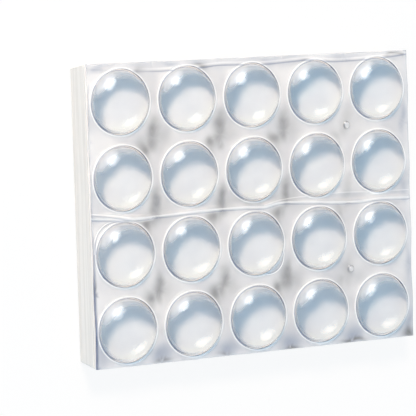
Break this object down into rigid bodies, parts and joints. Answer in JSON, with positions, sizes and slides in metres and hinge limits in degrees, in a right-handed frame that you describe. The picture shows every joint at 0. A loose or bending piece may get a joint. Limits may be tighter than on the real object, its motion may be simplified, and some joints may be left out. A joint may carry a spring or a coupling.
{
  "type": "furniture pad sheet",
  "caption": "Sheet of clear self-adhesive domed furniture pads in their cut film web, on a release liner and a thick backing block.",
  "frame": {"origin": "middle of the backing block's underside", "axes": "+X along the rows of five pads, +Y up the columns of four pads, +Z out of the sheet, the way the domes point"},
  "size_m": [0.0754, 0.0602, 0.0108],
  "materials": {
    "block": "off-white board, matt, with faint layer lines along its sides",
    "liner": "white silicone-coated paper, satin",
    "film": "clear cast film, glossy, softly puckered between the pads and creased across the middle",
    "pad": "water-clear cast resin, glossy"
  },
  "bodies": {
    "root": {"backing_block": "block", "release_liner": "liner", "film_web": "film", "pad_r1_c1": "pad", "pad_r1_c2": "pad", "pad_r1_c3": "pad", "pad_r1_c4": "pad", "pad_r1_c5": "pad", "pad_r2_c1": "pad", "pad_r2_c2": "pad", "pad_r2_c3": "pad", "pad_r2_c4": "pad", "pad_r2_c5": "pad", "pad_r3_c1": "pad", "pad_r3_c2": "pad", "pad_r3_c3": "pad", "pad_r3_c4": "pad", "pad_r3_c5": "pad", "pad_r4_c1": "pad", "pad_r4_c2": "pad", "pad_r4_c3": "pad", "pad_r4_c4": "pad", "pad_r4_c5": "pad"}
  },
  "joints": []
}
